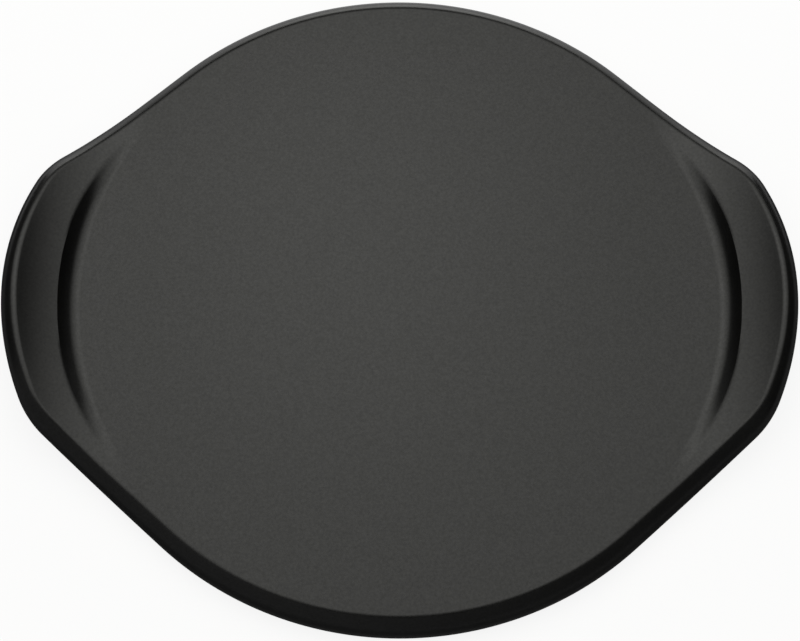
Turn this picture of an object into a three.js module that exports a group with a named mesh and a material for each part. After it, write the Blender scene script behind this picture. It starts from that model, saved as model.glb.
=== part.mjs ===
// A glazed ceramic grilling stone: a round flat plate whose two lugs sweep up left and right as handles.
// Millimetres, +Z up, origin on the standing surface under the middle of the plate, lugs along X.
import * as THREE from 'three';

// Plan of the stone
const overallLength = 420;
const plateDiameter = 365;
const lugEndRadius = 161;
const lugCornerRadius = 50;
const lugCornerOffset = 42;

// Heights: the plate, how far the lugs rise above it, and where they begin to sweep up
const plateThickness = 16.5;
const lugRise = 19.5;
const lugThickness = 13.5;
const topSweepStart = 139;
const undersideSweepStart = 119;

// Top edge: one arc round the plate; towards the lugs' tips it becomes a narrow crest, which leans outwards
// before a wider arc takes it down to the upright wall
const plateEdgeRadius = 9.6;
const lugEdgeWidth = 7.7;
const lugCrestRadius = 4;
const crestLeanDegrees = 25;

// Bottom edge, and the curved wall that bounds the flat cooking surface at each lug
const bottomEdgeRadius = 2.5;
const cookingSurfaceLand = 4.2;
const cookingWallRadius = 12.6;

// The ring that the stone stands on, left bare of glaze
const footDiameter = 300;
const footWidth = 14;
const footHeight = 2;
const footChamfer = 0.8;

// The glaze, the seam kept between it and the body, and the bare strip beside the foot
const glazeThickness = 0.6;
const glazeSeam = 0.3;
const glazeSetback = 3;

// Facets along the four stretches of a quarter outline and up the section
const endFacets = 5;
const cornerFacets = 5;
const flankFacets = 5;
const plateFacets = 7;
const wallFacets = 5;
const sweepFacets = 4;
const crestFacets = 4;
const outerEdgeFacets = 3;
const bottomEdgeFacets = 3;
const undersideFacets = 4;

// How closely the meeting of two surfaces is found
const meetingTolerance = 1e-6;

// Sizes that follow from the ones above
const halfLength = overallLength / 2;
const plateRadius = plateDiameter / 2;
const crestLean = THREE.MathUtils.degToRad(crestLeanDegrees);
const cookingRadius = plateRadius - plateEdgeRadius - cookingSurfaceLand;
const footOuter = footDiameter / 2;
const footInner = footOuter - footWidth;
const glazeEnd = footOuter + glazeSetback;
const bodyDepth = glazeThickness + glazeSeam;
const plateTop = footHeight + plateThickness;
const topSweepRadius = arcThrough(halfLength - lugEdgeWidth - topSweepStart, lugRise) - lugCrestRadius;
const undersideRise = plateThickness + lugRise - lugThickness;
const undersideSweepRadius = arcThrough(halfLength - undersideSweepStart, undersideRise);

// Radius of the arc that leaves a level line and has risen by `rise` after the distance `run`
function arcThrough(run, rise) {
  return (run * run + rise * rise) / (2 * rise);
}

// Points of an arc with the outward direction at each, without its last point
function arcStations(center, radius, from, to, facets) {
  const stations = [];
  for (let i = 0; i < facets; i += 1) {
    const angle = from + ((to - from) * i) / facets;
    const normal = new THREE.Vector2(Math.cos(angle), Math.sin(angle));
    stations.push({ point: normal.clone().multiplyScalar(radius).add(center), normal });
  }
  return stations;
}

// A quarter of the outline, from the tip of the right lug to the back of the plate, in tangent stretches:
// the lug's shallow end arc, its corner, the straight flank and the plate's own circle
function quarterOutline() {
  const endCenter = new THREE.Vector2(halfLength - lugEndRadius, 0);
  const reach = lugEndRadius - lugCornerRadius;
  const cornerCenter = new THREE.Vector2(
    endCenter.x + Math.sqrt(reach * reach - lugCornerOffset * lugCornerOffset),
    lugCornerOffset
  );
  const cornerStart = Math.asin(lugCornerOffset / reach);
  const flankAngle = cornerCenter.angle() + Math.acos((plateRadius - lugCornerRadius) / cornerCenter.length());
  const flankNormal = new THREE.Vector2(Math.cos(flankAngle), Math.sin(flankAngle));
  const flankFrom = flankNormal.clone().multiplyScalar(lugCornerRadius).add(cornerCenter);
  const flankTo = flankNormal.clone().multiplyScalar(plateRadius);
  const flank = [];
  for (let i = 0; i < flankFacets; i += 1) {
    flank.push({ point: flankFrom.clone().lerp(flankTo, i / flankFacets), normal: flankNormal.clone() });
  }
  return [
    ...arcStations(endCenter, lugEndRadius, 0, cornerStart, endFacets),
    ...arcStations(cornerCenter, lugCornerRadius, cornerStart, flankAngle, cornerFacets),
    ...flank,
    ...arcStations(new THREE.Vector2(), plateRadius, flankAngle, Math.PI / 2, plateFacets),
    { point: new THREE.Vector2(0, plateRadius), normal: new THREE.Vector2(0, 1) },
  ];
}

// A station seen in a mirror across the X or the Y axis
function mirrored(station, signX, signY) {
  const sign = new THREE.Vector2(signX, signY);
  return { point: station.point.clone().multiply(sign), normal: station.normal.clone().multiply(sign) };
}

// The whole outline, anticlockwise, by mirroring the quarter
function wholeOutline() {
  const quarter = quarterOutline();
  const back = quarter.slice(0, -1).reverse().map((station) => mirrored(station, -1, 1));
  const half = [...quarter, ...back];
  const front = half.slice(1, -1).reverse().map((station) => mirrored(station, 1, -1));
  return [...half, ...front];
}

// Height, above its level part, of a surface that is level up to `start` and then bends up on an arc.
// `depth` is how far inside the finished surface it lies: the arc keeps its centre and changes its radius.
function bendUp(distance, start, radius, depth) {
  const past = Math.max(0, distance - start);
  const square = (radius + depth) ** 2 - past ** 2;
  return square > 0 ? radius - Math.sqrt(square) : Infinity;
}

// Rise of the sweeping lugs, and of the wall that stands round the cooking surface
const sweepAt = (x, depth) => bendUp(Math.abs(x), topSweepStart, topSweepRadius, depth);
const wallAt = (distance, depth) => bendUp(distance, cookingRadius, cookingWallRadius, depth);

// The top: the lugs sweep up, and the cooking surface is sunk level into them
function topHeight(x, y, depth) {
  return plateTop + Math.min(sweepAt(x, depth), wallAt(Math.hypot(x, y), depth));
}

// The underside: level under the plate, bending up under the lugs
function undersideHeight(x, depth) {
  return footHeight + bendUp(Math.abs(x), undersideSweepStart, undersideSweepRadius, -depth);
}

// Direction square to a surface that bends up along X, on the side away from its arc's centre
function bendDirection(x, start, radius) {
  const slope = Math.max(0, Math.abs(x) - start) / radius;
  return new THREE.Vector3(Math.sign(x) * slope, 0, -Math.sqrt(1 - slope * slope));
}

// Points of a rounded edge: a ball rolls along it and turns from one contact direction to the other
function roundedEdge(center, radius, from, to, facets) {
  const turn = new THREE.Quaternion().setFromUnitVectors(from, to);
  const points = [];
  for (let i = 0; i <= facets; i += 1) {
    const part = new THREE.Quaternion().slerp(turn, i / facets);
    points.push(from.clone().applyQuaternion(part).multiplyScalar(radius).add(center));
  }
  return points;
}

// Where, on a line from the middle, the wall of the cooking surface meets the sweeping lug
function wallTop(direction, limit, depth) {
  let inside = cookingRadius;
  let outside = limit;
  while (outside - inside > meetingTolerance) {
    const middle = (inside + outside) / 2;
    const below = wallAt(middle, depth) < sweepAt(middle * direction.x, depth);
    inside = below ? middle : inside;
    outside = below ? outside : middle;
  }
  return Math.max(outside, cookingRadius + cookingSurfaceLand / 2);
}

// Rounded top edge at one station, from the lug's sweep over the crest to the upright wall of the outline
function topEdge(station, wall, depth) {
  const lugShare = Math.max(0, Math.abs(station.point.x) - topSweepStart) / (halfLength - topSweepStart);
  const width = THREE.MathUtils.lerp(plateEdgeRadius, lugEdgeWidth, lugShare);
  const crestRadius = THREE.MathUtils.lerp(plateEdgeRadius, lugCrestRadius, lugShare);
  const outerRadius = (width - crestRadius * Math.sin(crestLean)) / (1 - Math.sin(crestLean));

  const crestXY = station.point.clone().addScaledVector(station.normal, -width);
  const crestCenter = new THREE.Vector3(crestXY.x, crestXY.y, plateTop + sweepAt(crestXY.x, crestRadius));
  const sweepNormal = bendDirection(crestXY.x, topSweepStart, topSweepRadius + crestRadius).negate();
  const crestEnd = wall.clone().multiplyScalar(Math.sin(crestLean)).setZ(Math.cos(crestLean));
  const outerCenter = crestCenter.clone().addScaledVector(crestEnd, crestRadius - outerRadius);

  const crest = roundedEdge(crestCenter, crestRadius - depth, sweepNormal, crestEnd, crestFacets);
  const outer = roundedEdge(outerCenter, outerRadius - depth, crestEnd, wall, outerEdgeFacets);
  return [...crest, ...outer.slice(1)];
}

// The section at one station of the outline, from the cooking surface over the edge to the underside,
// as far as the glaze goes. It lies `depth` inside the finished surface.
function section(station, depth) {
  const wall = new THREE.Vector3(station.normal.x, station.normal.y, 0);
  const edge = topEdge(station, wall, depth);

  // Cooking surface, its wall, and the lug's sweep as far as the rounded edge
  const brink = new THREE.Vector2(edge[0].x, edge[0].y);
  const ray = brink.clone().normalize();
  const ledge = wallTop(ray, brink.length(), depth);
  const wallRadius = cookingWallRadius + depth;
  const wallTurn = Math.asin(Math.min(1, (ledge - cookingRadius) / wallRadius));
  const plan = [];
  for (let i = 0; i <= wallFacets; i += 1) {
    plan.push(ray.clone().multiplyScalar(cookingRadius + wallRadius * Math.sin((wallTurn * i) / wallFacets)));
  }
  for (let i = 1; i < sweepFacets; i += 1) {
    plan.push(ray.clone().multiplyScalar(THREE.MathUtils.lerp(ledge, brink.length(), i / sweepFacets)));
  }
  const top = plan.map(({ x, y }) => new THREE.Vector3(x, y, topHeight(x, y, depth)));

  // Rounded bottom edge, between the upright wall and the underside
  const lowXY = station.point.clone().addScaledVector(station.normal, -bottomEdgeRadius);
  const lowCenter = new THREE.Vector3(lowXY.x, lowXY.y, undersideHeight(lowXY.x, bottomEdgeRadius));
  const lowNormal = bendDirection(lowXY.x, undersideSweepStart, undersideSweepRadius - bottomEdgeRadius);
  const lowEdge = roundedEdge(lowCenter, bottomEdgeRadius - depth, wall, lowNormal, bottomEdgeFacets);

  // Underside, inwards to the end of the glaze
  const rim = lowEdge[bottomEdgeFacets];
  const from = new THREE.Vector2(rim.x, rim.y);
  const to = from.clone().setLength(glazeEnd);
  const underside = [];
  for (let i = 1; i <= undersideFacets; i += 1) {
    const { x, y } = from.clone().lerp(to, i / undersideFacets);
    underside.push(new THREE.Vector3(x, y, undersideHeight(x, depth)));
  }
  return [...top, ...edge, ...lowEdge, ...underside];
}

// The bare foot under one station: its outer face, the flat that it stands on and its inner face
function footSection(station) {
  const ray = station.point.clone().normalize();
  const profile = [
    [footOuter, undersideHeight(ray.x * footOuter, bodyDepth)],
    [footOuter, footChamfer],
    [footOuter - footChamfer, 0],
    [footInner + footChamfer, 0],
    [footInner, footChamfer],
    [footInner, footHeight],
  ];
  return profile.map(([radius, z]) => new THREE.Vector3(ray.x * radius, ray.y * radius, z));
}

// A closed skin over sections that all run from the point `first` to the point `last`; each four-cornered
// facet is split along its shorter diagonal, so that skins at different depths split alike
function loft(sections, first, last) {
  const count = sections.length;
  const rows = sections[0].length;
  const vertices = [first, ...sections.flat(), last];
  const at = (column, row) => 1 + (column % count) * rows + row;
  const triangles = [];
  for (let column = 0; column < count; column += 1) {
    triangles.push(0, at(column, 0), at(column + 1, 0));
    for (let row = 0; row + 1 < rows; row += 1) {
      const [a, b] = [at(column, row), at(column, row + 1)];
      const [d, c] = [at(column + 1, row), at(column + 1, row + 1)];
      const across = vertices[a].distanceTo(vertices[c]) < vertices[b].distanceTo(vertices[d]);
      triangles.push(...(across ? [a, b, c, a, c, d] : [a, b, d, d, b, c]));
    }
    triangles.push(at(column, rows - 1), vertices.length - 1, at(column + 1, rows - 1));
  }
  const geometry = new THREE.BufferGeometry().setFromPoints(vertices);
  geometry.setIndex(triangles);
  geometry.computeVertexNormals();
  return geometry;
}

// Fired ceramic body: plate, lugs and foot in one casting
function stoneBody(outline) {
  const sections = outline.map((station) => [...section(station, bodyDepth), ...footSection(station)]);
  const top = new THREE.Vector3(0, 0, plateTop - bodyDepth);
  const recess = new THREE.Vector3(0, 0, footHeight);
  const material = new THREE.MeshStandardMaterial({ color: 0xa99a87, roughness: 0.9, metalness: 0 });
  const mesh = new THREE.Mesh(loft(sections, top, recess), material);
  mesh.name = 'stone_body';
  return mesh;
}

// Charcoal glaze: a shell over the body that ends beside the foot
function glazeCoat(outline) {
  const sections = outline.map((station) => [
    ...section(station, 0),
    ...section(station, glazeThickness).reverse(),
  ]);
  const outerTop = new THREE.Vector3(0, 0, plateTop);
  const innerTop = new THREE.Vector3(0, 0, plateTop - glazeThickness);
  const material = new THREE.MeshStandardMaterial({ color: 0x2c2c2b, roughness: 0.4, metalness: 0 });
  const mesh = new THREE.Mesh(loft(sections, outerTop, innerTop), material);
  mesh.name = 'glaze_coat';
  return mesh;
}

const outline = wholeOutline();
const grillingStone = new THREE.Group();
grillingStone.add(stoneBody(outline), glazeCoat(outline));

export default grillingStone;
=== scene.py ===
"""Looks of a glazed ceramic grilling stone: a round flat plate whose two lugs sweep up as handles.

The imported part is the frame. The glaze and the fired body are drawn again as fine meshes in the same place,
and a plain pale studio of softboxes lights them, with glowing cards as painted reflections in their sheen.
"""

import logging
import math
from collections.abc import Sequence
from dataclasses import dataclass, field

import bmesh
import bpy
from mathutils import Matrix, Vector


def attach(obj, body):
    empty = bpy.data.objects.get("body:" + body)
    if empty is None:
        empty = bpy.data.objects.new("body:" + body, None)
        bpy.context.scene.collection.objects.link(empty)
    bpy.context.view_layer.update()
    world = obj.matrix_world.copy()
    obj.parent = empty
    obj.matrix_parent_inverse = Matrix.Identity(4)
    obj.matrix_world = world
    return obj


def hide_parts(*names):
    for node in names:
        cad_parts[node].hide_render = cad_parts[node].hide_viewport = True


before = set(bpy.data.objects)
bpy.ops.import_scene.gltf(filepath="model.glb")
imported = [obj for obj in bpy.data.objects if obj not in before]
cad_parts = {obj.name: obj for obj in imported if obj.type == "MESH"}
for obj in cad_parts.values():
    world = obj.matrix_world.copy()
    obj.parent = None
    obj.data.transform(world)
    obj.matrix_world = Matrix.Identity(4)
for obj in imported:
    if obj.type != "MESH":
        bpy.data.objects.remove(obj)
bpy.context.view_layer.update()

LOG = logging.getLogger("grilling_stone")

# Millimetres to metres
MM = 0.001

# Picture width that the lens is stated for
SENSOR_WIDTH_MM = 36.0

# Points closer together than this are merged
MERGE_MM = 1e-4

# How far a point may lie from a circle or from the floor and still count as on it
ON_RING_MM = 0.05
ON_FLOOR_MM = 0.1

# Edges that turn by more than this stay sharp
SHARP_OVER = math.radians(50.0)

# Halvings that find a place far finer than a facet
HALVINGS = 40

UP = Vector((0.0, 0.0, 1.0))


def linear(colour: str) -> tuple[float, float, float, float]:
    """Turns an sRGB colour into the linear one that shaders take.

    Args:
        colour: six hex digits after a hash sign.

    Returns:
        Linear red, green, blue and an alpha of 1.
    """
    parts = [int(colour[i:i + 2], 16) / 255 for i in (1, 3, 5)]
    red, green, blue = (p / 12.92 if p <= 0.04045 else ((p + 0.055) / 1.055) ** 2.4 for p in parts)
    return red, green, blue, 1.0


def add_node(
    tree: bpy.types.NodeTree, kind: str, inputs: dict[str | int, object] | None = None, **settings: object
) -> bpy.types.Node:
    """Adds a node, sets it, and fills or links its inputs.

    Args:
        tree: the node tree that gets the node.
        kind: the node's type name.
        inputs: what each named or numbered input gets: a value, or an output socket to link.
        settings: the node's own properties.

    Returns:
        The new node.
    """
    node = tree.nodes.new(kind)
    for name, value in settings.items():
        setattr(node, name, value)
    for socket, value in (inputs or {}).items():
        if isinstance(value, bpy.types.NodeSocket):
            tree.links.new(value, node.inputs[socket])
        else:
            node.inputs[socket].default_value = value
    return node


def per_metre(size_mm: float) -> float:
    """Scale of a pattern on Object coordinates whose features are this many millimetres across."""
    return 1.0 / (size_mm * MM)


def new_material(name: str) -> tuple[bpy.types.Material, bpy.types.NodeTree]:
    """Makes an empty material with nodes.

    Args:
        name: the material's name.

    Returns:
        The material and its emptied node tree.
    """
    material = bpy.data.materials.new(name)
    material.use_nodes = True
    material.node_tree.nodes.clear()
    return material, material.node_tree


def finish_material(tree: bpy.types.NodeTree, shader: bpy.types.Node) -> None:
    """Links a shader to the material's output.

    Args:
        tree: the material's node tree.
        shader: the node whose first output is the surface.
    """
    add_node(tree, "ShaderNodeOutputMaterial", {"Surface": shader.outputs[0]})


@dataclass(frozen=True)
class CharcoalGlaze:
    """Satin glaze, fired on stoneware: nearly black in itself, so what shows is a soft sheen of the room."""

    dark: str = "#050505"
    pale: str = "#0c0c0b"
    ior: float = 1.5
    roughness: float = 0.285
    roughness_spread: float = 0.01
    mottle_mm: float = 28.0
    peel_mm: float = 6.0
    peel_height_mm: float = 0.008
    grain_mm: float = 1.5
    grain_height_mm: float = 0.01
    sheen: float = 0.5
    sheen_spread: float = 0.062
    # Values that the noises mostly lie between
    grain_limits: tuple[float, float] = (0.3, 0.7)
    mottle_limits: tuple[float, float] = (0.25, 0.75)

    def material(self) -> bpy.types.Material:
        """Builds the glaze's material.

        Returns:
            The material.
        """
        material, tree = new_material("satin_charcoal_glaze")
        place = add_node(tree, "ShaderNodeTexCoord").outputs["Object"]
        # Slow mottling where the glaze melted a little thicker or thinner
        mottle = add_node(tree, "ShaderNodeTexNoise", {"Vector": place, "Scale": per_metre(self.mottle_mm),
                                                       "Detail": 3.0, "Roughness": 0.55})
        # Fine grain of undissolved crystals; a real one is near 0.2 mm, drawn coarser so that it shows
        grain = add_node(tree, "ShaderNodeTexNoise", {"Vector": place, "Scale": per_metre(self.grain_mm),
                                                      "Detail": 2.0, "Roughness": 0.6})
        # The faint orange peel of a glaze that has flowed
        peel = add_node(tree, "ShaderNodeTexNoise", {"Vector": place, "Scale": per_metre(self.peel_mm),
                                                     "Detail": 1.0, "Roughness": 0.4})
        colour = add_node(tree, "ShaderNodeMix", {0: mottle.outputs["Fac"], 6: linear(self.dark),
                                                  7: linear(self.pale)}, data_type="RGBA")
        # Crystals shine a little more or less than the glass between them
        sheen = add_node(tree, "ShaderNodeMapRange", {
            "Value": grain.outputs["Fac"],
            "From Min": self.grain_limits[0], "From Max": self.grain_limits[1],
            "To Min": self.sheen - self.sheen_spread, "To Max": self.sheen + self.sheen_spread}, clamp=False)
        rough = add_node(tree, "ShaderNodeMapRange", {
            "Value": mottle.outputs["Fac"],
            "From Min": self.mottle_limits[0], "From Max": self.mottle_limits[1],
            "To Min": self.roughness - self.roughness_spread,
            "To Max": self.roughness + self.roughness_spread})
        waves = add_node(tree, "ShaderNodeBump", {"Strength": 1.0, "Distance": self.peel_height_mm * MM,
                                                  "Height": peel.outputs["Fac"]})
        bump = add_node(tree, "ShaderNodeBump", {
            "Strength": 1.0, "Distance": self.grain_height_mm * MM, "Height": grain.outputs["Fac"],
            "Normal": waves.outputs["Normal"]})
        shader = add_node(tree, "ShaderNodeBsdfPrincipled", {
            "Base Color": colour.outputs[2], "Roughness": rough.outputs["Result"], "IOR": self.ior,
            "Specular IOR Level": sheen.outputs["Result"], "Normal": bump.outputs["Normal"]})
        finish_material(tree, shader)
        return material


@dataclass(frozen=True)
class BareStoneware:
    """Fired clay left without glaze: matt, buff grey, with grog and small iron spots."""

    clay: str = "#a3937f"
    toasted: str = "#8c7760"
    spot: str = "#54463a"
    roughness: float = 0.92
    cloud_mm: float = 45.0
    grog_mm: float = 1.1
    spot_mm: float = 3.2
    # A spot's core and rim as shares of its cell, and how much of its colour shows
    spot_core: float = 0.1
    spot_rim: float = 0.16
    spot_strength: float = 0.7
    grog_height_mm: float = 0.06

    def material(self) -> bpy.types.Material:
        """Builds the bare clay's material.

        Returns:
            The material.
        """
        material, tree = new_material("fired_stoneware")
        place = add_node(tree, "ShaderNodeTexCoord").outputs["Object"]
        # Cloudy toasting from the kiln
        cloud = add_node(tree, "ShaderNodeTexNoise", {"Vector": place, "Scale": per_metre(self.cloud_mm),
                                                      "Detail": 4.0, "Roughness": 0.6})
        # Grog, the crushed fired clay that keeps the stone from cracking
        grog = add_node(tree, "ShaderNodeTexNoise", {"Vector": place, "Scale": per_metre(self.grog_mm),
                                                     "Detail": 3.0, "Roughness": 0.65})
        # Iron spots, few and small
        spots = add_node(tree, "ShaderNodeTexVoronoi", {"Vector": place, "Scale": per_metre(self.spot_mm),
                                                        "Randomness": 1.0})
        spot_share = add_node(tree, "ShaderNodeMapRange", {
            "Value": spots.outputs["Distance"], "From Min": self.spot_core, "From Max": self.spot_rim,
            "To Min": self.spot_strength, "To Max": 0.0})
        body = add_node(tree, "ShaderNodeMix", {0: cloud.outputs["Fac"], 6: linear(self.clay),
                                                7: linear(self.toasted)}, data_type="RGBA")
        colour = add_node(tree, "ShaderNodeMix", {0: spot_share.outputs["Result"], 6: body.outputs[2],
                                                  7: linear(self.spot)}, data_type="RGBA")
        bump = add_node(tree, "ShaderNodeBump", {"Strength": 1.0, "Distance": self.grog_height_mm * MM,
                                                 "Height": grog.outputs["Fac"]})
        shader = add_node(tree, "ShaderNodeBsdfPrincipled", {
            "Base Color": colour.outputs[2], "Roughness": self.roughness, "Normal": bump.outputs["Normal"]})
        finish_material(tree, shader)
        return material


@dataclass(frozen=True)
class WhitePaper:
    """Matt white studio paper, lifted towards plain white where it is seen, that keeps a pale shadow."""

    colour: str = "#f2f2f0"
    glow: float = 0.86

    def material(self) -> bpy.types.Material:
        """Builds the paper's material.

        Returns:
            The material.
        """
        material, tree = new_material("white_paper")
        path = add_node(tree, "ShaderNodeLightPath").outputs
        mirrored = add_node(tree, "ShaderNodeMath", {
            0: path["Is Glossy Ray"], 1: path["Is Transmission Ray"]}, operation="MAXIMUM")
        seen = add_node(tree, "ShaderNodeMath", {0: path["Is Camera Ray"], 1: mirrored.outputs[0]},
                        operation="MAXIMUM")
        share = add_node(tree, "ShaderNodeMath", {0: seen.outputs[0], 1: self.glow}, operation="MULTIPLY")
        paper = add_node(tree, "ShaderNodeBsdfDiffuse", {"Color": linear(self.colour)})
        white = add_node(tree, "ShaderNodeEmission", {"Strength": 1.0})
        shader = add_node(tree, "ShaderNodeMixShader", {0: share.outputs[0], 1: paper.outputs[0],
                                                        2: white.outputs[0]})
        finish_material(tree, shader)
        return material


@dataclass(frozen=True)
class PaintedFloorReflectionCard:
    """Studio card under the stone that glows as a painted reflection, which only the sheen sees.

    Painted shadow close to the stone, dim before and beside it, pale behind. A level of 1 is white.
    """

    painted_shadow_level: float = 0.02
    front_level: float = 0.16
    back_level: float = 0.78
    painted_shadow_middle_mm: tuple[float, float, float] = (0.0, 60.0, 0.0)
    painted_shadow_full_mm: float = 220.0
    painted_shadow_end_mm: float = 330.0
    front_mm: float = 90.0
    back_mm: float = 210.0

    def material(self) -> bpy.types.Material:
        """Builds the card's material.

        Returns:
            The material.
        """
        material, tree = new_material("painted_reflection_and_shadow_card")
        place = add_node(tree, "ShaderNodeTexCoord").outputs["Object"]
        # Painted shadow: the glow is darkened close to the stone, in place of its shadow on the card
        distance = add_node(tree, "ShaderNodeVectorMath", {0: place, 1: Vector(self.painted_shadow_middle_mm) * MM},
                            operation="DISTANCE").outputs["Value"]
        near = add_node(tree, "ShaderNodeMapRange", {
            "Value": distance, "From Min": self.painted_shadow_full_mm * MM, "From Max": self.painted_shadow_end_mm * MM,
            "To Min": self.painted_shadow_level, "To Max": self.front_level})
        # Painted reflection: dim before and beside the stone, pale behind it
        depth = add_node(tree, "ShaderNodeSeparateXYZ", {"Vector": place}).outputs["Y"]
        level = add_node(tree, "ShaderNodeMapRange", {
            "Value": depth, "From Min": self.front_mm * MM, "From Max": self.back_mm * MM,
            "To Min": near.outputs["Result"], "To Max": self.back_level})
        finish_material(tree, add_node(tree, "ShaderNodeEmission", {"Strength": level.outputs["Result"]}))
        return material


@dataclass(frozen=True)
class UprightPaintedReflection:
    """Glowing studio card that stands on edge, a painted reflection graded from left to right; a level of 1
    is white.
    """

    name: str
    left_level: float
    right_level: float
    left_mm: float = -100.0
    right_mm: float = 400.0

    def material(self) -> bpy.types.Material:
        """Builds the card's material.

        Returns:
            The material.
        """
        material, tree = new_material(self.name)
        place = add_node(tree, "ShaderNodeTexCoord").outputs["Object"]
        across = add_node(tree, "ShaderNodeSeparateXYZ", {"Vector": place}).outputs["X"]
        # Painted reflection: the glow is graded from left to right
        level = add_node(tree, "ShaderNodeMapRange", {
            "Value": across, "From Min": self.left_mm * MM, "From Max": self.right_mm * MM,
            "To Min": self.left_level, "To Max": self.right_level})
        finish_material(tree, add_node(tree, "ShaderNodeEmission", {"Strength": level.outputs["Result"]}))
        return material


@dataclass(frozen=True)
class Station:
    """A place on the stone's outline: its point and the direction outwards, in plan."""

    point: Vector
    normal: Vector


@dataclass(frozen=True)
class Fineness:
    """Facets along the four stretches of a quarter outline, up the section and round the foot's corners."""

    end: int = 22
    corner: int = 24
    flank: int = 18
    plate: int = 36
    plate_rings: int = 5
    wall: int = 16
    crease: int = 8
    sweep: int = 14
    crest: int = 18
    outer: int = 14
    bottom: int = 6
    underside: int = 12
    foot_corner: int = 3


def bend_up(distance: float, start: float, radius: float, depth: float) -> float:
    """Height of a surface that is level up to a place and then bends up on an arc.

    Args:
        distance: how far out the place is.
        start: where the arc begins.
        radius: the arc's radius at the finished surface.
        depth: how far inside the finished surface the place lies.

    Returns:
        The height above the level part, endless past the arc.
    """
    past = max(0.0, distance - start)
    square = (radius + depth) ** 2 - past ** 2
    return radius - math.sqrt(square) if square > 0 else math.inf


def arc_through(run: float, rise: float) -> float:
    """Radius of the arc that leaves a level line and has risen by `rise` after the distance `run`."""
    return (run * run + rise * rise) / (2 * rise)


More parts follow.
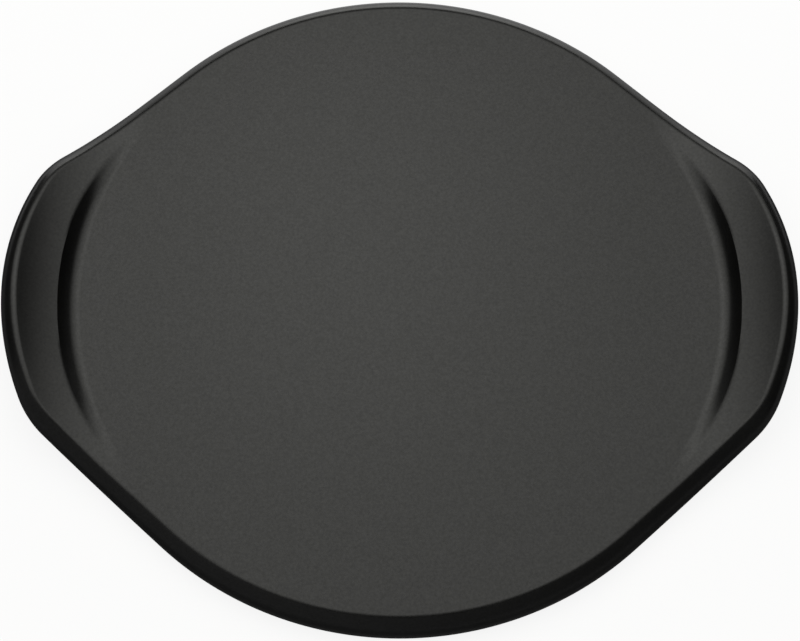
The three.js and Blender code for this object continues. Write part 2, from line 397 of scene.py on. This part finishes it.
@dataclass(frozen=True)
class StoneForm:
    """Sizes of the stone in millimetres, and the surfaces that follow from them.

    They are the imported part's, apart from the plate's edge and the wall of the cooking surface, which are
    rounded more tightly, as the photograph shows them, and the crease above that wall, which is rounded over.
    """

    overall_length: float = 420.0
    plate_diameter: float = 365.0
    lug_end_radius: float = 161.0
    lug_corner_radius: float = 50.0
    lug_corner_offset: float = 42.0
    plate_thickness: float = 16.5
    lug_rise: float = 19.5
    lug_thickness: float = 13.5
    top_sweep_start: float = 139.0
    underside_sweep_start: float = 119.0
    plate_edge_width: float = 9.2
    plate_crest_radius: float = 6.0
    lug_edge_width: float = 7.7
    lug_crest_radius: float = 4.0
    crest_turn: float = math.radians(20.0)
    bottom_edge_radius: float = 2.5
    cooking_land: float = 3.5
    cooking_wall_radius: float = 10.8
    # The crease: its widest rounding, and how many times wider than the wall is high the rounding may be
    crease_round: float = 3.4
    crease_spread: float = 3.0
    # Fine rows lie this far to each side of the crease, at most this share of the way to the wall's foot
    crease_margin: float = 0.8
    crease_margin_share: float = 0.4
    # Share of the way from the wall's foot to the edge where the rows lie at least, also with no crease there
    crease_least_share: float = 0.3
    foot_diameter: float = 300.0
    foot_width: float = 14.0
    foot_height: float = 2.0
    foot_chamfer: float = 0.8
    glaze_thickness: float = 0.6
    glaze_seam: float = 0.3
    glaze_setback: float = 3.0

    @property
    def half_length(self) -> float:
        """From the middle to the tip of a lug."""
        return self.overall_length / 2

    @property
    def plate_radius(self) -> float:
        """Radius of the round plate."""
        return self.plate_diameter / 2

    @property
    def plate_top(self) -> float:
        """Height of the cooking surface."""
        return self.foot_height + self.plate_thickness

    @property
    def cooking_radius(self) -> float:
        """Radius of the level cooking surface."""
        return self.plate_radius - self.plate_edge_width - self.cooking_land

    @property
    def top_sweep_radius(self) -> float:
        """Radius of the arc on which the top of a lug sweeps up."""
        run = self.half_length - self.lug_edge_width - self.top_sweep_start
        return arc_through(run, self.lug_rise) - self.lug_crest_radius

    @property
    def underside_sweep_radius(self) -> float:
        """Radius of the arc on which the underside of a lug sweeps up."""
        rise = self.plate_thickness + self.lug_rise - self.lug_thickness
        return arc_through(self.half_length - self.underside_sweep_start, rise)

    @property
    def foot_outer(self) -> float:
        """Outer radius of the standing ring."""
        return self.foot_diameter / 2

    @property
    def glaze_end(self) -> float:
        """Radius at which the glaze stops on the underside."""
        return self.foot_outer + self.glaze_setback

    @property
    def body_depth(self) -> float:
        """How far the fired body lies inside the finished surface."""
        return self.glaze_thickness + self.glaze_seam

    def quarter_outline(self, fine: Fineness) -> list[Station]:
        """Draws a quarter of the outline, from the tip of the right lug to the back of the plate.

        Args:
            fine: facets along each stretch.

        Returns:
            The stations in order, both ends included.
        """
        end_centre = Vector((self.half_length - self.lug_end_radius, 0.0))
        reach = self.lug_end_radius - self.lug_corner_radius
        corner_run = math.sqrt(reach ** 2 - self.lug_corner_offset ** 2)
        corner_centre = end_centre + Vector((corner_run, self.lug_corner_offset))
        corner_start = math.asin(self.lug_corner_offset / reach)
        turn = math.acos((self.plate_radius - self.lug_corner_radius) / corner_centre.length)
        flank_angle = math.atan2(corner_centre.y, corner_centre.x) + turn
        stations = []
        for centre, radius, start, stop, facets in (
            (end_centre, self.lug_end_radius, 0.0, corner_start, fine.end),
            (corner_centre, self.lug_corner_radius, corner_start, flank_angle, fine.corner),
        ):
            stations += self.arc_stations(centre, radius, start, stop, facets)
        normal = Vector((math.cos(flank_angle), math.sin(flank_angle)))
        first = corner_centre + normal * self.lug_corner_radius
        last = normal * self.plate_radius
        stations += [Station(first.lerp(last, i / fine.flank), normal) for i in range(fine.flank)]
        middle = Vector((0.0, 0.0))
        stations += self.arc_stations(middle, self.plate_radius, flank_angle, math.pi / 2, fine.plate)
        stations.append(Station(Vector((0.0, self.plate_radius)), Vector((0.0, 1.0))))
        return stations

    @staticmethod
    def arc_stations(centre: Vector, radius: float, start: float, stop: float, facets: int) -> list[Station]:
        """Stations along an arc, without its last point.

        Args:
            centre: the arc's centre in plan.
            radius: the arc's radius.
            start: angle of the first station.
            stop: angle of the end that is left out.
            facets: how many stations.

        Returns:
            The stations.
        """
        stations = []
        for i in range(facets):
            angle = start + (stop - start) * i / facets
            normal = Vector((math.cos(angle), math.sin(angle)))
            stations.append(Station(centre + normal * radius, normal))
        return stations

    def sweep_at(self, x: float, depth: float) -> float:
        """Rise of the lug's top over the plate at a distance along X."""
        return bend_up(abs(x), self.top_sweep_start, self.top_sweep_radius, depth)

    def wall_at(self, distance: float, depth: float) -> float:
        """Rise of the wall that stands round the cooking surface, at a distance from the middle."""
        return bend_up(distance, self.cooking_radius, self.cooking_wall_radius, depth)

    def top_height(self, place: Vector, depth: float) -> float:
        """Height of the top: the lugs sweep up, and the cooking surface is sunk level into them.

        Args:
            place: the place in plan.
            depth: how far inside the finished surface it lies.

        Returns:
            The height, with the crease between wall and lug rounded over.
        """
        sweep = self.sweep_at(place.x, depth)
        wall = self.wall_at(place.length, depth)
        lower = min(sweep, wall)
        if lower + depth <= 0 or math.isinf(wall):
            return self.plate_top + lower
        # A smooth lesser of the two, over a span that is narrower where the wall is low and runs out with it
        mean = 2 * (sweep + depth) * (wall + depth) / (sweep + wall + 2 * depth)
        room = self.crease_spread * mean
        span = self.crease_round * room / (self.crease_round + room)
        share = max(0.0, 1 - abs(sweep - wall) / span)
        return self.plate_top + lower - share * share * span / 4

    def underside_height(self, x: float, depth: float) -> float:
        """Height of the underside: level under the plate, bending up under the lugs."""
        rise = bend_up(abs(x), self.underside_sweep_start, self.underside_sweep_radius, -depth)
        return self.foot_height + rise

    def crease_at(self, ray: Vector, limit: float, depth: float) -> float:
        """Finds where, on a line from the middle, the wall meets the sweeping lug.

        Args:
            ray: direction of the line in plan.
            limit: the farthest place that is looked at.
            depth: how far inside the finished surface the line lies.

        Returns:
            The distance from the middle.
        """
        inside, outside = self.cooking_radius, limit
        for _ in range(HALVINGS):
            middle = (inside + outside) / 2
            if self.wall_at(middle, depth) < self.sweep_at(middle * ray.x, depth):
                inside = middle
            else:
                outside = middle
        return max(outside, self.cooking_radius + self.crease_least_share * (limit - self.cooking_radius))

    @staticmethod
    def bend_direction(x: float, start: float, radius: float) -> Vector:
        """Direction square to a surface that bends up along X, on the side of its arc's centre.

        Args:
            x: place along X.
            start: where the arc begins.
            radius: the arc's radius.

        Returns:
            The unit direction.
        """
        slope = max(0.0, abs(x) - start) / radius
        return Vector((-math.copysign(slope, x), 0.0, math.sqrt(1 - slope * slope)))

    @staticmethod
    def rolled(centre: Vector, radius: float, start: Vector, stop: Vector, facets: int) -> list[Vector]:
        """Points of a rounded edge: a ball rolls along it and turns from one contact direction to the other.

        Args:
            centre: the ball's centre.
            radius: the ball's radius.
            start: first contact direction.
            stop: last contact direction.
            facets: steps between them.

        Returns:
            The points, both ends included.
        """
        turn = start.rotation_difference(stop)
        points = []
        for i in range(facets + 1):
            part = Matrix.Rotation(turn.angle * i / facets, 3, turn.axis)
            points.append(centre + part @ start * radius)
        return points

    def section(self, station: Station, depth: float, fine: Fineness) -> list[Vector]:
        """Draws the section at one station, from the plate's middle over the edge to the end of the glaze.

        Args:
            station: the place on the outline.
            depth: how far inside the finished surface the section lies.
            fine: facets up the section.

        Returns:
            The points in order.
        """
        outward = station.normal.to_3d()

        # The rounded top edge: a crest, tightest at the lugs' tips, and a wider arc from it into the wall
        past = max(0.0, abs(station.point.x) - self.top_sweep_start)
        lug_share = past / (self.half_length - self.top_sweep_start)
        width = self.plate_edge_width + (self.lug_edge_width - self.plate_edge_width) * lug_share
        crest_radius = self.plate_crest_radius + (self.lug_crest_radius - self.plate_crest_radius) * lug_share
        turned = math.sin(self.crest_turn)
        outer_radius = (width - crest_radius * turned) / (1 - turned)
        crest_xy = station.point - station.normal * width
        crest_centre = Vector((*crest_xy, self.plate_top + self.sweep_at(crest_xy.x, crest_radius)))
        inward = self.bend_direction(crest_xy.x, self.top_sweep_start, self.top_sweep_radius + crest_radius)
        face = outward * turned + UP * math.cos(self.crest_turn)
        outer_centre = crest_centre + face * (crest_radius - outer_radius)
        crest = self.rolled(crest_centre, crest_radius - depth, inward, face, fine.crest)
        outer = self.rolled(outer_centre, outer_radius - depth, face, outward, fine.outer)[1:]

        # Cooking surface, its wall, the crease above it and the lug's sweep
        brink = crest[0].to_2d()
        ray = brink.normalized()
        crease = self.crease_at(ray, brink.length, depth)
        wall_radius = self.cooking_wall_radius + depth
        margin = min(self.crease_margin, self.crease_margin_share * (crease - self.cooking_radius))
        near, far = crease - margin, crease + margin
        turn = math.asin(min(1.0, (near - self.cooking_radius) / wall_radius))
        reach = [self.cooking_radius * i / fine.plate_rings for i in range(fine.plate_rings)]
        reach += [self.cooking_radius + wall_radius * math.sin(turn * i / fine.wall)
                  for i in range(fine.wall)]
        reach += [near + (far - near) * i / fine.crease for i in range(fine.crease)]
        reach += [far + (brink.length - far) * i / fine.sweep for i in range(fine.sweep)]
        top = [Vector((*(ray * r), self.top_height(ray * r, depth))) for r in reach]

        # Rounded bottom edge, and the underside inwards to the end of the glaze
        low_xy = station.point - station.normal * self.bottom_edge_radius
        low_centre = Vector((*low_xy, self.underside_height(low_xy.x, self.bottom_edge_radius)))
        below = -self.bend_direction(low_xy.x, self.underside_sweep_start,
                                     self.underside_sweep_radius - self.bottom_edge_radius)
        low = self.rolled(low_centre, self.bottom_edge_radius - depth, outward, below, fine.bottom)
        start = low[-1].to_2d()
        stop = start.normalized() * self.glaze_end
        under = []
        for i in range(1, fine.underside + 1):
            place = start.lerp(stop, i / fine.underside)
            under.append(Vector((*place, self.underside_height(place.x, depth))))
        return [*top, *crest, *outer, *low, *under]

    def foot_section(self, station: Station) -> list[Vector]:
        """Draws the bare foot under one station: its outer face, the flat that it stands on, its inner face.

        Args:
            station: the place on the outline.

        Returns:
            The points from the outer face to the middle of the underside.
        """
        ray = station.point.normalized()
        foot_inner = self.foot_outer - self.foot_width
        profile = (
            (self.foot_outer, self.underside_height(ray.x * self.foot_outer, self.body_depth)),
            (self.foot_outer, 0.0),
            (foot_inner, 0.0),
            (foot_inner, self.foot_height),
            (foot_inner / 2, self.foot_height),
            (0.0, self.foot_height),
        )
        return [Vector((*(ray * radius), z)) for radius, z in profile]


def carried_round(sections: Sequence[Sequence[Vector]]) -> bmesh.types.BMesh:
    """Draws the first section by extruding a point, carries it through the others and mirrors the quarter.

    Args:
        sections: the sections of a quarter, each with the same number of points, in millimetres.

    Returns:
        The whole mesh in metres, with doubles merged and faces outwards.
    """
    bm = bmesh.new()
    row = bm.verts.layers.int.new("row")
    last = bm.verts.new(sections[0][0])
    chain = []
    for index, point in enumerate(sections[0][1:], start=1):
        made = bmesh.ops.extrude_vert_indiv(bm, verts=[last])
        last = made["verts"][0]
        last.co = point
        last[row] = index
        chain += made["edges"]
    for section in sections[1:]:
        made = bmesh.ops.extrude_edge_only(bm, edges=chain)["geom"]
        for vert in (v for v in made if isinstance(v, bmesh.types.BMVert)):
            vert.co = section[vert[row]]
        chain = [e for e in made if isinstance(e, bmesh.types.BMEdge)]
    for axis in ("Y", "X"):
        bmesh.ops.mirror(bm, geom=[*bm.verts, *bm.edges, *bm.faces], merge_dist=MERGE_MM, axis=axis)
    bmesh.ops.remove_doubles(bm, verts=bm.verts[:], dist=MERGE_MM)
    bmesh.ops.scale(bm, vec=Vector((MM, MM, MM)), verts=bm.verts[:])
    bmesh.ops.recalc_face_normals(bm, faces=bm.faces[:])
    return bm


def placed(bm: bmesh.types.BMesh, name: str, material: bpy.types.Material) -> bpy.types.Object:
    """Turns a bmesh into a smooth-shaded object at the origin.

    Args:
        bm: the mesh, which is freed.
        name: the object's name.
        material: its finish.

    Returns:
        The object, linked to the scene.
    """
    mesh = bpy.data.meshes.new(name)
    bm.to_mesh(mesh)
    bm.free()
    mesh.shade_smooth()
    mesh.set_sharp_from_angle(angle=SHARP_OVER)
    mesh.materials.append(material)
    piece = bpy.data.objects.new(name, mesh)
    bpy.context.scene.collection.objects.link(piece)
    return piece


@dataclass
class GlazeCoat:
    """The charcoal glaze: a thin closed shell over the top, the edges and the undersides of the lugs."""

    form: StoneForm
    finish: CharcoalGlaze = field(default_factory=CharcoalGlaze)
    fine: Fineness = field(default_factory=Fineness)

    def build(self) -> bpy.types.Object:
        """Draws the shell and dresses it.

        Returns:
            The glaze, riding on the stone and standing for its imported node.
        """
        outline = self.form.quarter_outline(self.fine)
        bm = carried_round([self.form.section(station, 0.0, self.fine) for station in outline])
        bmesh.ops.solidify(bm, geom=bm.faces[:], thickness=self.form.glaze_thickness * MM)
        piece = placed(bm, "glaze_skin", self.finish.material())
        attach(piece, "root")
        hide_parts("glaze_coat")
        return piece


@dataclass
class StoneBody:
    """The fired body: plate, lugs and standing ring in one casting, bare only inside the glaze's end."""

    form: StoneForm
    finish: BareStoneware = field(default_factory=BareStoneware)
    fine: Fineness = field(default_factory=lambda: Fineness(wall=8, crease=2, sweep=6, crest=6, outer=5,
                                                            bottom=4, underside=10))

    def build(self) -> bpy.types.Object:
        """Draws the body, rounds the foot's corners and dresses it.

        Returns:
            The body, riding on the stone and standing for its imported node.
        """
        outline = self.form.quarter_outline(self.fine)
        depth = self.form.body_depth
        bm = carried_round([self.form.section(station, depth, self.fine) + self.form.foot_section(station)
                            for station in outline])
        rings = (self.form.foot_outer, self.form.foot_outer - self.form.foot_width)
        corners = [edge for edge in bm.edges if all(vert.co.z < ON_FLOOR_MM * MM for vert in edge.verts)
                   and self.on_ring(edge, *rings)]
        bmesh.ops.bevel(bm, geom=corners, offset=self.form.foot_chamfer * MM, offset_type="OFFSET",
                        segments=self.fine.foot_corner, profile=0.5, affect="EDGES", material=-1)
        piece = placed(bm, "fired_body", self.finish.material())
        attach(piece, "root")
        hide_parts("stone_body")
        return piece

    @staticmethod
    def on_ring(edge: bmesh.types.BMEdge, *radii_mm: float) -> bool:
        """Whether both ends of an edge lie on one of these circles about the middle."""
        return any(all(abs(v.co.xy.length - r * MM) < ON_RING_MM * MM for v in edge.verts) for r in radii_mm)


@dataclass(frozen=True)
class Softbox:
    """A lamp behind cloth that faces the stone and fades from its middle to its rim; sizes in metres."""

    name: str
    direction: tuple[float, float, float]
    distance: float
    width: float
    depth: float
    radiance: float
    even_width: float
    even_depth: float
    # Linear red, green, blue and alpha, a little warm
    light: tuple[float, float, float, float] = (1.0, 1.0, 0.955, 1.0)

    def hang(self) -> bpy.types.Object:
        """Makes the lamp and hangs it in its place.

        Returns:
            The lamp.
        """
        data = bpy.data.lights.new(self.name, "AREA")
        data.shape = "RECTANGLE"
        data.size, data.size_y = self.width, self.depth
        # A lamp of this power has the radiance in its middle, where 1 is white
        data.energy = self.radiance * math.pi * self.width * self.depth
        data.use_nodes = True
        tree = data.node_tree
        tree.nodes.clear()
        place = add_node(tree, "ShaderNodeNewGeometry").outputs["Parametric"]
        # Places on the lamp run from 0 to 1; here from -1 to 1, and then as distances from its middle
        centred = add_node(tree, "ShaderNodeVectorMath", {0: place, 1: (2.0, 2.0, 0.0), 2: (-1.0, -1.0, 0.0)},
                           operation="MULTIPLY_ADD")
        across = add_node(tree, "ShaderNodeVectorMath", {0: centred.outputs["Vector"]}, operation="ABSOLUTE")
        sides = add_node(tree, "ShaderNodeSeparateXYZ", {"Vector": across.outputs["Vector"]})
        fades = [add_node(tree, "ShaderNodeMapRange", {
            "Value": sides.outputs[axis], "From Min": even, "From Max": 1.0, "To Min": 1.0, "To Max": 0.0},
            interpolation_type="SMOOTHSTEP").outputs["Result"]
            for axis, even in (("X", self.even_width), ("Y", self.even_depth))]
        fade = add_node(tree, "ShaderNodeMath", {0: fades[0], 1: fades[1]}, operation="MULTIPLY")
        glow = add_node(tree, "ShaderNodeEmission", {"Strength": fade.outputs["Value"], "Color": self.light})
        add_node(tree, "ShaderNodeOutputLight", {"Surface": glow.outputs[0]})
        lamp = bpy.data.objects.new(self.name, data)
        bpy.context.scene.collection.objects.link(lamp)
        towards = Vector(self.direction).normalized()
        lamp.location = towards * self.distance
        lamp.rotation_euler = towards.to_track_quat("Z", "Y").to_euler()
        return lamp


@dataclass
class Studio:
    """Pale floor, dim room, softboxes above and behind the stone, cards round it, and the photo's camera.

    Sizes are in metres, apart from those that are named for millimetres. A level of 1 is white.
    """

    floor_size: float = 14.0
    paper: WhitePaper = WhitePaper()

    # Camera, fitted to the photograph
    aim_mm: tuple[float, float, float] = (0.258, -8.98, 2.0)
    elevation: float = math.radians(68.68)
    distance_mm: float = 1043.31
    roll: float = math.radians(0.2798)
    lens_mm: float = 87.076
    clip_start: float = 0.01
    clip_end: float = 100.0

    # Card under the stone: a painted reflection with a painted shadow, seen only in the sheen
    card_radius: float = 0.6
    card_lift: float = 0.0002
    card_segments: int = 96
    painted_floor_reflection: PaintedFloorReflectionCard = PaintedFloorReflectionCard()

    # Dark screen at the card's rim and grey card before the stone, both painted reflections bent in an arc of
    # so many steps
    sheet_steps: int = 64
    screen_height: float = 0.35
    screen_middle: float = math.radians(270.0)
    screen_gap: float = math.radians(84.0)
    painted_dark_reflection: UprightPaintedReflection = UprightPaintedReflection("painted_dark_reflection", left_level=0.018, right_level=0.018)
    front_height: float = 1.0
    front_radius: float = 0.58
    front_middle: float = math.radians(262.0)
    front_width: float = math.radians(146.0)
    # Painted reflection before the stone, lighter on the left
    painted_grey_reflection: UprightPaintedReflection = UprightPaintedReflection("painted_grey_reflection", left_level=0.175, right_level=0.07)

    # Light: fill from above, the room from the horizon up, and the lamps
    fill_level: float = 0.5
    fill_angle: float = math.radians(120.0)
    room_colour: str = "#ffffff"
    horizon_level: float = 0.45
    room_level: float = 0.01
    glow_full: float = math.radians(12.0)
    glow_end: float = math.radians(26.0)
    lamps: tuple[Softbox, ...] = (
        Softbox("softbox", (-0.065, 0.334, 0.943), distance=1.3, width=3.3, depth=1.69, radiance=1.26,
                even_width=0.17, even_depth=0.6),
        Softbox("softbox_bulb", (-0.06, 0.43, 0.902), distance=1.25, width=0.8, depth=0.9, radiance=0.75,
                even_width=0.0, even_depth=0.0),
        Softbox("back_strip", (0.0, 0.985, 0.17), distance=2.5, width=4.1, depth=1.3, radiance=2.0,
                even_width=0.0, even_depth=0.4),
    )

    def camera(self) -> bpy.types.Object:
        """Sets the camera as the photograph was taken, without shift.

        Returns:
            The camera.
        """
        data = bpy.data.cameras.new("photo_camera")
        data.lens = self.lens_mm
        data.sensor_width = SENSOR_WIDTH_MM
        data.clip_start = self.clip_start
        data.clip_end = self.clip_end
        camera = bpy.data.objects.new("photo_camera", data)
        bpy.context.scene.collection.objects.link(camera)
        back = Vector((0.0, -math.cos(self.elevation), math.sin(self.elevation)))
        right = Vector((1.0, 0.0, 0.0))
        upright = back.cross(right)
        across = right * math.cos(self.roll) + upright * math.sin(self.roll)
        upward = upright * math.cos(self.roll) - right * math.sin(self.roll)
        turn = Matrix((across, upward, back)).transposed().to_4x4()
        camera.matrix_world = Matrix.Translation((Vector(self.aim_mm) + back * self.distance_mm) * MM) @ turn
        bpy.context.scene.camera = camera
        return camera

    def floor(self) -> bpy.types.Object:
        """Lays the pale floor that the stone stands on.

        Returns:
            The floor.
        """
        bm = bmesh.new()
        bmesh.ops.create_grid(bm, x_segments=1, y_segments=1, size=self.floor_size / 2)
        floor = placed(bm, "floor", self.paper.material())
        return floor

    def card(self) -> bpy.types.Object:
        """Lays a round card under the stone, a painted reflection with a painted shadow, which only the sheen
        sees.

        Returns:
            The card.
        """
        bm = bmesh.new()
        bmesh.ops.create_circle(bm, cap_ends=True, segments=self.card_segments, radius=self.card_radius,
                                matrix=Matrix.Translation(UP * self.card_lift))
        return self.seen_in_sheen(placed(bm, "card", self.painted_floor_reflection.material()))

    def screen(self) -> bpy.types.Object:
        """Stands a dark screen round the card, open behind the stone, as a painted reflection only the sheen
        sees.

        Returns:
            The screen.
        """
        width = 2 * math.pi - self.screen_gap
        sheet = self.upright(self.card_radius, self.screen_height, self.screen_middle, width)
        return self.seen_in_sheen(placed(sheet, "screen", self.painted_dark_reflection.material()))

    def front_card(self) -> bpy.types.Object:
        """Stands a dim grey card before the stone, a painted reflection lighter on the left, which only the
        sheen sees.

        Returns:
            The card.
        """
        sheet = self.upright(self.front_radius, self.front_height, self.front_middle, self.front_width)
        return self.seen_in_sheen(placed(sheet, "front_card", self.painted_grey_reflection.material()))

    def upright(self, radius: float, height: float, middle: float, width: float) -> bmesh.types.BMesh:
        """Draws a sheet that stands in an arc round the stone.

        Args:
            radius: how far from the stone's middle it stands.
            height: how high it is.
            middle: angle of the arc's middle, from the right lug towards the back.
            width: angle that the arc spans.

        Returns:
            The sheet.
        """
        bm = bmesh.new()
        post = [bm.verts.new((radius, 0.0, self.card_lift))]
        post += bmesh.ops.extrude_vert_indiv(bm, verts=post)["verts"]
        post[1].co.z += height
        bmesh.ops.rotate(bm, matrix=Matrix.Rotation(middle - width / 2, 3, "Z"), verts=post)
        bmesh.ops.spin(bm, geom=[*post, *post[0].link_edges], axis=UP, steps=self.sheet_steps, angle=width)
        return bm

    @staticmethod
    def seen_in_sheen(sheet: bpy.types.Object) -> bpy.types.Object:
        """Hides a sheet from all but the sheen.

        Args:
            sheet: a card or screen of the studio.

        Returns:
            The same sheet.
        """
        sheet.visible_camera = False
        sheet.visible_diffuse = False
        sheet.visible_shadow = False
        return sheet

    def world(self) -> None:
        """Gives the room its light: pale towards the horizon, dim overhead."""
        world = bpy.data.worlds.new("dim_room")
        bpy.context.scene.world = world
        world.use_nodes = True
        tree = world.node_tree
        tree.nodes.clear()
        place = add_node(tree, "ShaderNodeTexCoord").outputs["Generated"]
        height = add_node(tree, "ShaderNodeSeparateXYZ", {"Vector": place}).outputs["Z"]
        level = add_node(tree, "ShaderNodeMapRange", {
            "Value": height, "From Min": math.sin(self.glow_full), "From Max": math.sin(self.glow_end),
            "To Min": self.horizon_level, "To Max": self.room_level}, interpolation_type="SMOOTHSTEP")
        room = add_node(tree, "ShaderNodeBackground", {"Color": linear(self.room_colour),
                                                       "Strength": level.outputs["Result"]})
        add_node(tree, "ShaderNodeOutputWorld", {"Surface": room.outputs[0]})

    def fill(self) -> bpy.types.Object:
        """Adds an even soft light from above that lights the floor and stays out of the sheen.

        Returns:
            The lamp.
        """
        data = bpy.data.lights.new("fill", "SUN")
        data.angle = self.fill_angle
        data.energy = self.fill_level * math.pi
        lamp = bpy.data.objects.new("fill", data)
        bpy.context.scene.collection.objects.link(lamp)
        lamp.visible_glossy = False
        return lamp

    def build(self) -> None:
        """Sets up the camera, the floor, the cards and the light."""
        bpy.context.scene.view_settings.view_transform = "Standard"
        self.camera()
        self.floor()
        self.card()
        self.screen()
        self.front_card()
        self.world()
        self.fill()
        for lamp in self.lamps:
            lamp.hang()


def main() -> None:
    """Builds the stage and the stone's pieces in order and reports each."""
    logging.basicConfig(level=logging.INFO)
    Studio().build()
    form = StoneForm()
    for maker in (StoneBody(form), GlazeCoat(form)):
        piece = maker.build()
        LOG.info("%s: %d faces", piece.name, len(piece.data.polygons))


if __name__ == "__main__":
    main()
